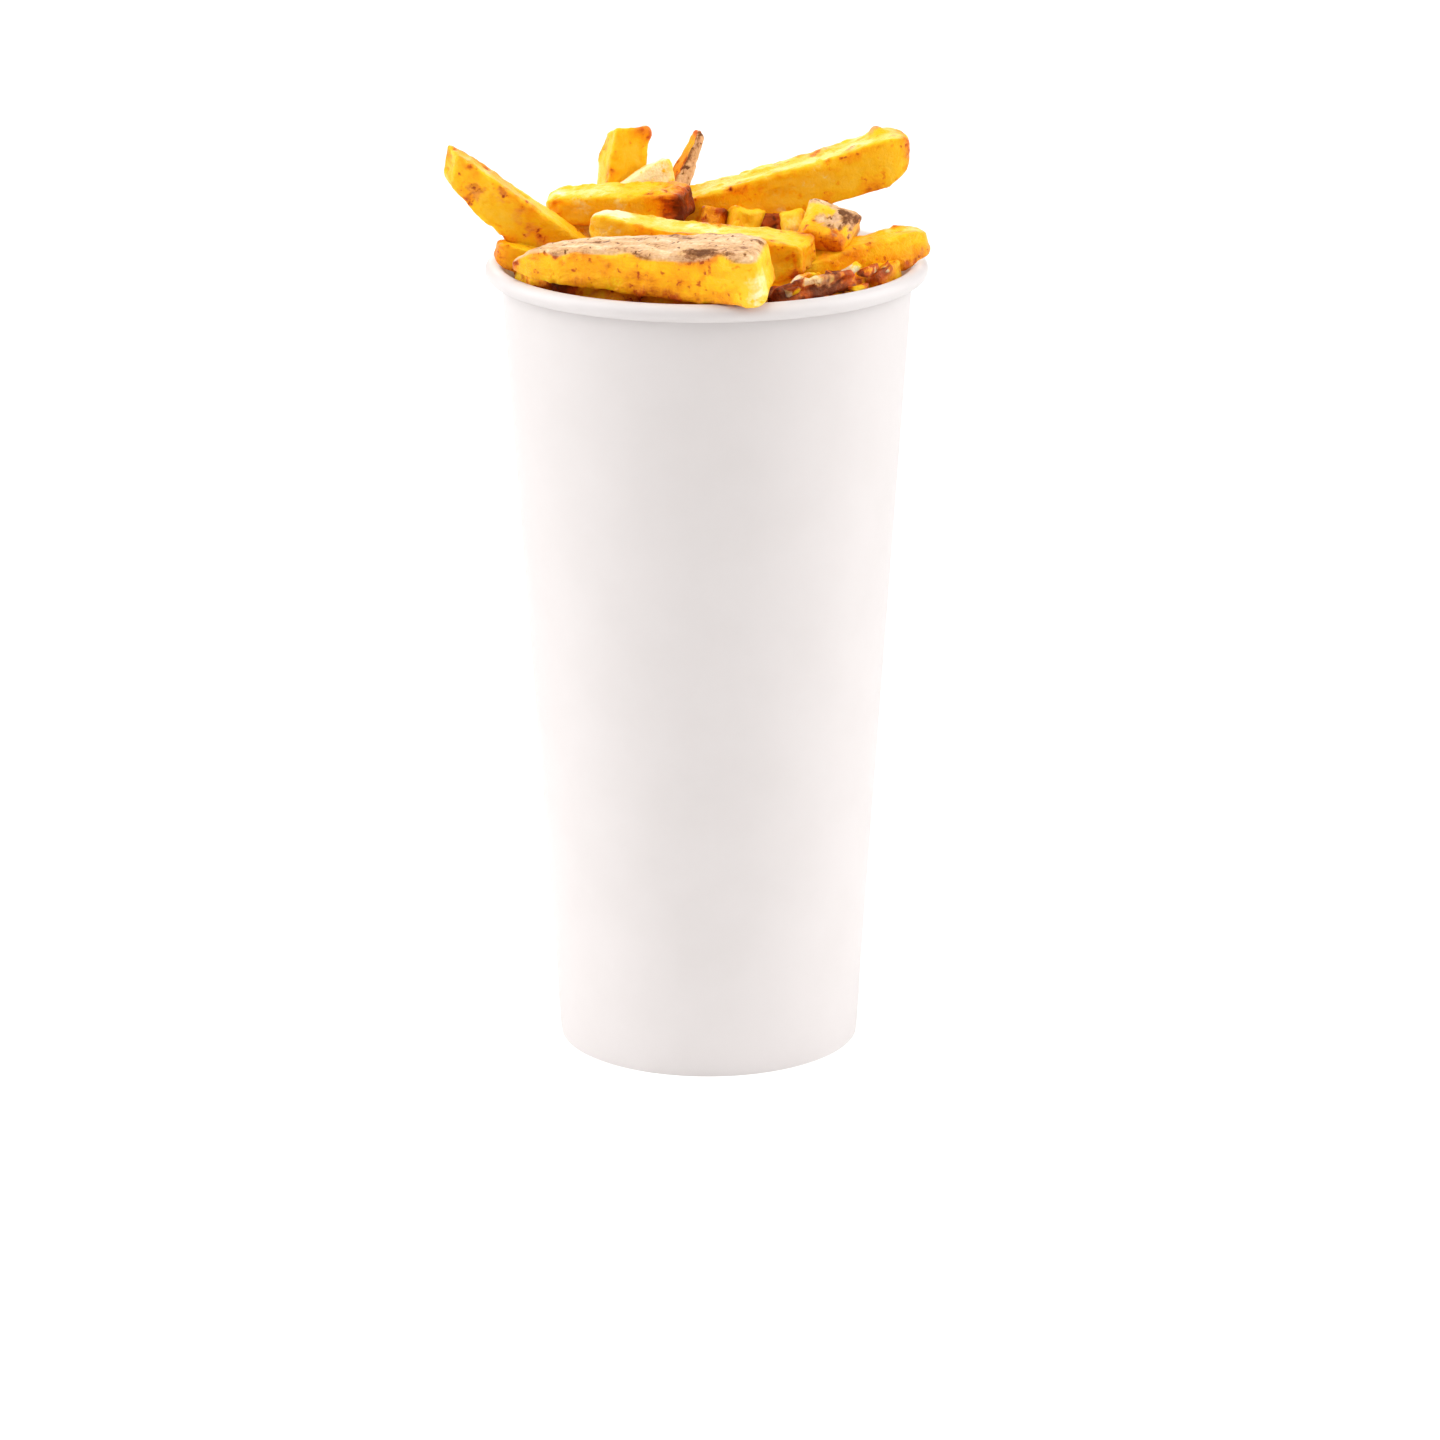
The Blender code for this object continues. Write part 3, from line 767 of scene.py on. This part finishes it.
def fryRelief(one, seed, rng, body):
    # each point moves along its normal by lumps + wrinkles drawn out along the fry + blisters - pits + ragged
    # edges + knobs, where a knob is height * exp(-(distance / width)^2)
    look, base, skin, rough = fryLook, body["base"], body["skin"], one.get("rough", 1)
    spot = base + rng.uniform(0, 1, 3)
    grain = np.stack([0.3 * body["along"] + 0 * body["x"], body["x"], body["y"]], axis=-1)
    grain = grain + rng.uniform(0, 1, 3)
    relief = sum(depth * lumps(spot, wide, seed + 6 + k) for k, (wide, depth) in enumerate(look["lumps"]))
    wrinkle = lumps(grain, 1.3 * mm, seed + 14) + 0.5 * lumps(grain, 0.7 * mm, seed + 18)
    relief = relief + look["wrinkle"] * wrinkle * (1 + 0.9 * skin) * rough
    noise = {
        "fine": lumps(spot, 1.0 * mm, seed + 10),
        "patch": lumps(spot, 4.5 * mm, seed + 11),
        "wide": lumps(spot, 9 * mm, seed + 15),
        "broken": lumps(spot, 1.5 * mm, seed + 19) + 0.7 * lumps(spot, 0.8 * mm, seed + 20),
        "blister": softStep(lumps(spot, 2.0 * mm, seed + 12), 0.40, 0.75),
        "pit": softStep(lumps(spot, 1.5 * mm, seed + 13), 0.50, 0.80),
    }
    relief = relief + look["blister"] * noise["blister"] - look["pit"] * noise["pit"] * (1 - 0.7 * skin)
    ragged = 0.6 * noise["fine"] + 0.6 * lumps(spot, 2.8 * mm, seed + 17)
    relief = relief + look["raggedEdge"] * body["corner"] * ragged * rough
    for t, angle, wide, high in one.get("knobs", ()):
        away = np.linalg.norm(base - placeOn(body, t, angle), axis=-1)
        relief = relief + high * np.exp(-(away / wide) ** 2)
    return base + surfaceNormals(base) * relief[..., None], grain, noise


def fryBrowning(one, body, noise):
    # brown = its kind + tone + patches + ends that fade as exp(-distance / endFade) + edges + painted shade
    # on one face + pits, then the fry's own patches, where the flaky ones are broken up and are partly skin
    everywhere, ends, edges, patches = fryKinds[one["kind"]]
    along, slant, fine, patch = body["along"], body["slant"], noise["fine"], noise["patch"]
    brown = everywhere + one["tone"] + patches * (patch + 0.6 * noise["wide"])
    fromEnds = {"tipBrown": along + slant * 0.5, "tailBrown": body["length"] - along - slant * 0.5}
    for end, distance in fromEnds.items():
        fade = np.exp(-np.maximum(distance, 0) / fryLook["endFade"])
        brown = brown + (ends * (0.7 + 0.6 * patch) + one.get(end, 0)) * fade
    brown = brown + edges * body["corner"] * (0.45 + 0.4 * fine + 0.5 * patch)
    # painted shade: the face turned to faceTone's angle is browned, as that side lies in shade
    shadeAngle, shadeBrown = one.get("faceTone", (0, 0))
    brown = brown + shadeBrown * softStep(np.cos(body["angle"] - math.radians(shadeAngle)), 0.3, 0.9)
    brown = brown + 0.16 * noise["pit"] + 0.07 * noise["blister"] + 0.04 * fine
    skin = body["skin"]
    for t, angle, wide, addBrown, addSkin in one.get("patches", ()):
        away = np.linalg.norm(body["base"] - placeOn(body, t, angle), axis=-1) / wide + 0.4 * patch
        breakUp, rim = (0.7, 0.95) if addSkin > 0 else (0.3, 1.15)
        inside = 1 - softStep(away + breakUp * noise["broken"], 0.65, rim)
        brown = brown + addBrown * inside
        skin = np.maximum(skin, addSkin * inside)
    return np.clip(brown, 0, 1), skin


def fryShape(one, seed, fine=1.0):
    # one fry as a closed mesh: rings of points and a point at the middle of each end, with its marks
    rng = np.random.default_rng(seed)
    body = fryBody(one, seed, fine, rng)
    points, grain, noise = fryRelief(one, seed, rng, body)
    brown, skin = fryBrowning(one, body, noise)
    marks = {}
    for mark, values in (("browning", brown), ("skin", skin)):
        marks[mark] = np.concatenate([values.ravel(), [values[0].mean(), values[-1].mean()]])
    marks["grain"] = np.concatenate([grain.reshape(-1, 3), [grain[0].mean(0), grain[-1].mean(0)]])
    allPoints = np.concatenate([points.reshape(-1, 3), [points[0].mean(0), points[-1].mean(0)]])
    return allPoints, ringQuads(*brown.shape), capTriangles(*brown.shape), marks


# fried potato: scales of noises, in lumps per metre, and colours by level of browning or of skin
fried = {
    "coarseScale": 420.0,
    "fineScale": 1700.0,
    "hairScale": 4200.0,
    "streakScale": 900.0,
    "speckScale": 620.0,
    "flakeScale": 1300.0,
    "speckDarkening": 0.22,
    "skinSpeckDarkening": 0.36,
    "flesh": (
        (0.0, (0.97, 0.845, 0.50)), (0.11, (0.97, 0.70, 0.21)), (0.22, (0.97, 0.575, 0.034)),
        (0.38, (0.965, 0.522, 0.006)), (0.56, (0.92, 0.345, 0.004)), (0.74, (0.53, 0.078, 0.004)),
        (1.0, (0.13, 0.012, 0.003)),
    ),
    "skin": (
        (0.30, (0.14, 0.048, 0.020)), (0.39, (0.34, 0.145, 0.060)), (0.46, (0.59, 0.335, 0.165)),
        (0.58, (0.73, 0.475, 0.270)), (0.72, (0.87, 0.67, 0.43)),
    ),
    "oil": {
        "IOR": 1.43,
        "Specular Tint": (1.0, 0.74, 0.32, 1.0),
        "Subsurface Weight": 0.38,
        "Subsurface Radius": (1.0, 0.72, 0.11),
        "Subsurface Scale": 0.0038,
    },
    "bumpDepth": 0.5 * mm,
}


def friedMaterial(name):
    # colour follows how brown each point is, from cream through gold to dark brown, with fine mottling and an
    # oily sheen; where the skin mark is set it turns to potato skin: tan and brown blotches with paler flakes
    material, tree, shader = newMaterial(name)
    where = tree.nodes.new("ShaderNodeTexCoord").outputs["Object"]
    brown = addNode(tree, "ShaderNodeAttribute", attribute_name="browning").outputs["Fac"]
    skin = addNode(tree, "ShaderNodeAttribute", attribute_name="skin").outputs["Fac"]
    drawnOut = addNode(tree, "ShaderNodeAttribute", attribute_name="grain").outputs["Vector"]
    coarse = noiseNode(tree, where, fried["coarseScale"], 4.0, 0.6)
    fineNoise = noiseNode(tree, where, fried["fineScale"], 3.0, 0.65)
    hair = noiseNode(tree, where, fried["hairScale"], 2.0, 0.6)
    streak = noiseNode(tree, drawnOut, fried["streakScale"], 3.0, 0.6)
    spots = noiseNode(tree, where, fried["speckScale"], 2.0, 0.5)
    speck = rampNode(tree, spots, ((0.62, (0, 0, 0)), (0.72, (1, 1, 1))))
    coarseShift = mathNode(tree, "MULTIPLY_ADD", coarse, 0.34, -0.17)
    fineShift = mathNode(tree, "MULTIPLY_ADD", fineNoise, 0.20, -0.10)
    streakShift = mathNode(tree, "MULTIPLY_ADD", streak, 0.20, -0.10)
    smallShift = mathNode(tree, "ADD", streakShift, fineShift)
    speckShift = mathNode(tree, "MULTIPLY_ADD", speck, fried["speckDarkening"], smallShift)
    shade = mathNode(tree, "ADD", brown, mathNode(tree, "ADD", coarseShift, speckShift), clamp=True)
    flesh = rampNode(tree, shade, fried["flesh"])

    blotch = noiseNode(tree, drawnOut, fried["coarseScale"], 5.0, 0.66)
    flake = noiseNode(tree, where, fried["flakeScale"], 3.0, 0.6)
    skinShift = mathNode(tree, "MULTIPLY_ADD", flake, 0.34, -0.17)
    skinShift = mathNode(tree, "MULTIPLY_ADD", speck, -fried["skinSpeckDarkening"], skinShift)
    skinShift = mathNode(tree, "MULTIPLY_ADD", brown, -0.30, mathNode(tree, "ADD", skinShift, 0.150))
    skinLevel = mathNode(tree, "ADD", blotch, skinShift, clamp=True)
    skinColour = rampNode(tree, skinLevel, fried["skin"])
    tree.links.new(mixColour(tree, skin, flesh, skinColour), shader.inputs["Base Color"])

    gloss = mathNode(tree, "MULTIPLY_ADD", coarse, 0.56, 0.12)
    tree.links.new(mathNode(tree, "MULTIPLY_ADD", skin, 0.28, gloss), shader.inputs["Roughness"])
    for socket, value in fried["oil"].items():
        shader.inputs[socket].default_value = value
    relief = mathNode(tree, "MULTIPLY_ADD", fineNoise, 0.6, coarse)
    relief = mathNode(tree, "MULTIPLY_ADD", streak, 0.6, relief)
    relief = mathNode(tree, "MULTIPLY_ADD", hair, 0.22, relief)
    bumpSettings = {"Height": relief, "Strength": 0.75, "Distance": fried["bumpDepth"]}
    tree.links.new(addNode(tree, "ShaderNodeBump", bumpSettings).outputs[0], shader.inputs["Normal"])
    return material


def joinShapes(shapes):
    # several shapes as one set of arrays
    points, quads, triangles, marks, count = [], [], [], {}, 0
    for spots, fours, threes, kept in shapes:
        points.append(spots)
        quads.append(fours + count)
        triangles.append(threes + count)
        for mark, values in kept.items():
            marks.setdefault(mark, []).append(values)
        count += len(spots)
    joined = {mark: np.concatenate(values) for mark, values in marks.items()}
    return np.concatenate(points), np.concatenate(quads), np.concatenate(triangles), joined


def turnHeap(points):
    # from the heap's frame to the cup's, about the cup's axis
    c, s = math.cos(heapTurn), math.sin(heapTurn)
    x, y, z = points.T
    return np.stack([c * x - s * y, s * x + c * y, z], axis=-1)


# curled crisps and crumbs: place in the heap (m), length and thickness (mm), heading and rise (degrees)
crumbs = (
    ((0.0195, -0.0285, 0.1662), 7.0, 2.6, 35, 12), ((0.0245, -0.0262, 0.1668), 6.0, 2.2, 70, -20),
    ((0.0282, -0.0225, 0.1672), 5.5, 2.4, 20, 25), ((0.0320, -0.0192, 0.1668), 6.5, 2.3, 50, 5),
    ((0.0162, -0.0325, 0.1656), 5.0, 2.4, 5, 8), ((0.0225, -0.0215, 0.1650), 7.5, 3.0, 100, 0),
    ((0.0350, -0.0150, 0.1664), 6.0, 2.4, 65, 10), ((0.0300, -0.0265, 0.1650), 5.0, 2.0, 40, 0),
    ((0.0128, -0.0100, 0.1690), 4.5, 2.0, 120, 10), ((-0.0005, 0.0020, 0.1700), 5.0, 2.2, 60, 20),
    ((-0.0330, -0.0145, 0.1668), 5.0, 2.2, 150, 10), ((-0.0366, -0.0112, 0.1643), 6.5, 2.8, 108, 4),
    ((0.0330, 0.0060, 0.1630), 5.5, 2.6, 80, 0), ((0.0372, -0.0098, 0.1648), 6.0, 3.0, 72, 0),
)

core = {
    "top": 0.1480,
    "dish": 0.004,
    "lowest": 0.0093,
    "inset": 1.1 * mm,
    "uneven": 1.6 * mm,
    "aroundPoints": 120,
}


def crumbFries():
    # each crumb is a short, thin, bent fry with tapered ends
    made = []
    for k, (place, length, thick, heading, rise) in enumerate(crumbs):
        heading, rise = math.radians(heading), math.radians(rise)
        half = pointing(heading, rise) * length * mm / 2
        made.append(fry(
            Vector(place) - half, Vector(place) + half, (thick * mm, thick * mm * 0.7),
            25 * k, 0.0006, 0.6, 0.5, kind="crisp", tone=-0.20 + 0.16 * math.sin(2.1 * k), rough=2.2,
            patches=(
                (0.3 + 0.1 * (k % 3), 90, 1.4 * mm, -0.36, 1.0 - k % 2),
                (0.8, 40, 1.2 * mm, -0.36, k % 2),
            ),
        ))
    return made


def coreShape():
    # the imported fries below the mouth: a profile turned about the cup's axis, along the bottom, up the wall
    # less its inset, then in over a top that dips by dish * (1 - share of its radius), with lumps
    radii = np.concatenate([[1.0], np.linspace(0.98, 0.06, 26)])
    low, high = core["lowest"], core["top"]
    around = core["aroundPoints"]
    heading = np.linspace(0, 2 * math.pi, around, endpoint=False)[None, :]
    bottom = [(wallRadius(low) - core["inset"]) * share for share in (0.1, 0.55, 1.0)]
    sides = np.linspace(low, high, 12)[1:]
    topReach = wallRadius(high) - core["inset"]
    radius = np.concatenate([bottom, wallRadius(sides) - core["inset"], topReach * radii[1:]])[:, None]
    height = np.concatenate([np.full(3, low), sides, high - core["dish"] * (1 - radii[1:])])[:, None]
    points = np.stack([radius * np.cos(heading), radius * np.sin(heading), height + 0 * heading], axis=-1)
    isTop = softStep(height, high - 0.012, high - 0.004) * (radius < topReach * 0.99)
    points[..., 2] += core["uneven"] * isTop * (lumps(points, 7 * mm, 31) + 0.6 * lumps(points, 3 * mm, 32))
    ends = np.array([[0, 0, low], points[-1].mean(0)])
    allPoints = np.concatenate([points.reshape(-1, 3), ends])
    # painted shade: the core is a dark brown, so the gaps between the fries above it read as deep shade
    brown = np.clip(0.80 + 0.15 * lumps(allPoints, 6 * mm, 33), 0, 1)
    marks = {"browning": brown, "skin": 0 * brown, "grain": allPoints}
    rows = len(radius)
    return allPoints, ringQuads(rows, around, flip=True), capTriangles(rows, around, flip=True), marks


def buildHeap():
    # one piece for each kind of fry, one for the seeded ones, one for the short ones and one for the core
    material = friedMaterial("friedPotato")
    shown = {**shownFries, **gapFries}
    fills = seededFries(fill, fillEnds, shownFries.values())
    lower = seededFries(under, underEnds, list(shown.values()) + fills)
    groups = {kind + "Fries": [] for kind in fryKinds}
    for k, one in enumerate(shown.values()):
        groups[one["kind"] + "Fries"].append(fryShape(one, 100 + 20 * k))
    groups["crispFries"] += [fryShape(one, 6000 + 20 * k, 0.55) for k, one in enumerate(crumbFries())]
    groups["fillFries"] = [fryShape(one, 2000 + 20 * k, 0.6) for k, one in enumerate(fills)]
    groups["underFries"] = [fryShape(one, 4000 + 20 * k, 0.45) for k, one in enumerate(lower)]
    groups["packedCore"] = [coreShape()]
    for name, shapes in groups.items():
        points, quads, triangles, marks = joinShapes(shapes)
        piece = meshPiece(name, turnHeap(points), quads, triangles, material, marks)
        dress(piece, "fried_potato", "fries")
        print("heap:", name, "has", len(shapes), "shapes and", 2 * len(quads) + len(triangles), "triangles")


buildHeap()


# floor, light and camera, set out in the heap's frame

studio = {
    "floorColour": (0.945, 0.940, 0.935),
    "floorLight": (0.96, 0.955, 0.95),
    "floorReach": 6.0,
    "floorCells": 12,
    "worldColour": (1.0, 0.985, 0.975),
    "worldStrength": 0.23,
    # heading and height that it comes from (90 is behind the cup) and width of its disc, in degrees, strength
    "softSuns": {
        "lowBackSun": (94, 17, 36, 0.95),
        "highSun": (-80, 64, 70, 0.88),
        "frontSun": (-90, 28, 70, 0.48),
        "leftSun": (174, 27, 56, 2.62),
        "rightSun": (6, 27, 56, 2.34),
    },
    # place, aim and size (m), cone (degrees), power (W): it lights the floor, which lights the cup from below
    "overheadSpot": ((0.0, -0.24, 1.30), (0.0, -0.14, 0.0), 0.22, 28, 23.0),
}

camera = {
    "distance": 1.100,
    "side": 0.002477,
    "height": 0.39737,
    "pitch": 16.70,  # degrees down
    "roll": -0.123,
    "lens": 138.12,
}


def turned(spot):
    return Matrix.Rotation(heapTurn, 3, "Z") @ Vector(spot)


def buildFloor():
    # a wide flat sheet with a faint mottle
    material, tree, shader = newMaterial("paleFloor")
    where = tree.nodes.new("ShaderNodeTexCoord").outputs["Object"]
    mottle = noiseNode(tree, where, 9.0, 3.0)
    tone = rampNode(tree, mottle, ((0.3, studio["floorColour"]), (0.7, studio["floorLight"])))
    tree.links.new(tone, shader.inputs["Base Color"])
    shader.inputs["Roughness"].default_value = 0.6
    cells = studio["floorCells"]
    side = np.linspace(-studio["floorReach"], studio["floorReach"], cells + 1)
    x, y = np.meshgrid(side, side)
    points = np.stack([x.ravel(), y.ravel(), np.zeros(x.size)], axis=-1)
    row, k = np.meshgrid(np.arange(cells), np.arange(cells), indexing="ij")
    first = row * (cells + 1) + k
    quads = np.stack([first, first + 1, first + cells + 2, first + cells + 1], axis=-1).reshape(-1, 4)
    meshPiece("studioFloor", points, quads, np.zeros((0, 3), int), material)


def addLamp(name, light, place, aim):
    lamp = bpy.data.objects.new(name, light)
    lamp.location = place
    lamp.rotation_euler = (aim - place).to_track_quat("-Z", "Y").to_euler()
    bpy.context.scene.collection.objects.link(lamp)


def buildLights():
    # wide soft discs far away, so the floor is lit evenly, an even sky and one soft spot
    for name, (heading, rise, disc, strength) in studio["softSuns"].items():
        light = bpy.data.lights.new(name, "SUN")
        light.energy = strength
        light.angle = math.radians(disc)
        heading, rise = math.radians(heading), math.radians(rise)
        addLamp(name, light, turned(pointing(heading, rise)) * 2, Vector((0, 0, 0)))
    place, aim, size, cone, power = studio["overheadSpot"]
    light = bpy.data.lights.new("overheadSpot", "SPOT")
    light.energy = power
    light.spot_size = math.radians(cone)
    light.spot_blend = 1.0
    light.shadow_soft_size = size
    addLamp("overheadSpot", light, turned(place), turned(aim))
    world = bpy.data.worlds.new("softWorld")
    world.use_nodes = True
    sky = world.node_tree.nodes["Background"]
    sky.inputs["Color"].default_value = (*studio["worldColour"], 1.0)
    sky.inputs["Strength"].default_value = studio["worldStrength"]
    bpy.context.scene.world = world


def buildCamera():
    # the photo's view: level distance, height and pitch, turned with the heap
    lens = bpy.data.cameras.new("photoCamera")
    lens.lens = camera["lens"]
    lens.sensor_width = 36.0
    lens.clip_start, lens.clip_end = 0.05, 30.0
    eye = bpy.data.objects.new("photoCamera", lens)
    heapToCup = Matrix.Rotation(heapTurn, 4, "Z")
    place = Matrix.Translation((camera["side"], -camera["distance"], camera["height"]))
    pitch = Matrix.Rotation(math.radians(90 - camera["pitch"]), 4, "X")
    roll = Matrix.Rotation(math.radians(camera["roll"]), 4, "Z")
    eye.matrix_world = heapToCup @ place @ pitch @ roll
    bpy.context.scene.collection.objects.link(eye)
    bpy.context.scene.camera = eye


buildFloor()
buildLights()
buildCamera()
bpy.context.scene.view_settings.view_transform = "Standard"
print("studio: floor, soft lights and camera")
